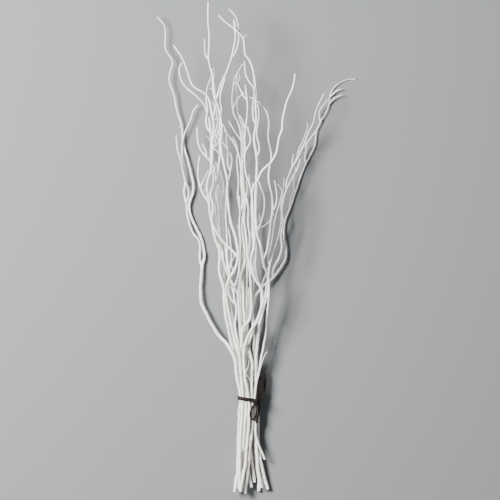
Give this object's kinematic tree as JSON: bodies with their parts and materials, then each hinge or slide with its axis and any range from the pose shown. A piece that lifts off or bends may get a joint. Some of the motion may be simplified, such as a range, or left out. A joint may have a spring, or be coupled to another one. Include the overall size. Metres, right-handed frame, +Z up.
{
  "type": "bundle of twigs",
  "caption": "Tied bundle of off-white painted curly willow branches with wavy forking tips, bound near the cut feet with dark brown twine, lying on its side.",
  "frame": {"origin": "bottom centre of the bounding box, on the surface the bundle lies on", "axes": "+Y along the branches from the cut feet to the tips, +X to the right as seen from above with the tips away, +Z up from the surface"},
  "size_m": [0.4986, 1.23, 0.1693],
  "materials": {
    "painted_bark": "matte",
    "dark_twine": "matte"
  },
  "bodies": {
    "root": {"shoot_01a": "painted_bark", "shoot_01b": "painted_bark", "shoot_02a": "painted_bark", "shoot_02b": "painted_bark", "shoot_02c": "painted_bark", "shoot_02d": "painted_bark", "shoot_02e": "painted_bark", "shoot_02f": "painted_bark", "shoot_02g": "painted_bark", "shoot_03a": "painted_bark", "shoot_05a": "painted_bark", "shoot_05b": "painted_bark", "shoot_07a": "painted_bark", "shoot_08a": "painted_bark", "shoot_08b": "painted_bark", "shoot_09a": "painted_bark", "shoot_10a": "painted_bark", "shoot_10b": "painted_bark", "shoot_10c": "painted_bark", "shoot_10d": "painted_bark", "shoot_10e": "painted_bark", "shoot_13a": "painted_bark", "shoot_13b": "painted_bark", "shoot_13c": "painted_bark", "shoot_13d": "painted_bark", "shoot_14a": "painted_bark", "shoot_15a": "painted_bark", "shoot_15b": "painted_bark", "shoot_15c": "painted_bark", "shoot_15d": "painted_bark", "shoot_15e": "painted_bark", "shoot_15f": "painted_bark", "shoot_15g": "painted_bark", "stem_01": "painted_bark", "stem_02": "painted_bark", "stem_03": "painted_bark", "stem_04": "painted_bark", "stem_05": "painted_bark", "stem_06": "painted_bark", "stem_07": "painted_bark", "stem_08": "painted_bark", "stem_09": "painted_bark", "stem_10": "painted_bark", "stem_11": "painted_bark", "stem_12": "painted_bark", "stem_13": "painted_bark", "stem_14": "painted_bark", "stem_15": "painted_bark", "stem_16": "painted_bark", "stem_17": "painted_bark", "stem_18": "painted_bark", "twine_knot": "dark_twine", "twine_loop_lower": "dark_twine", "twine_loop_upper": "dark_twine", "twine_tail_lower": "dark_twine", "twine_tail_upper": "dark_twine", "twine_turn_lower": "dark_twine", "twine_turn_upper": "dark_twine"}
  },
  "joints": []
}
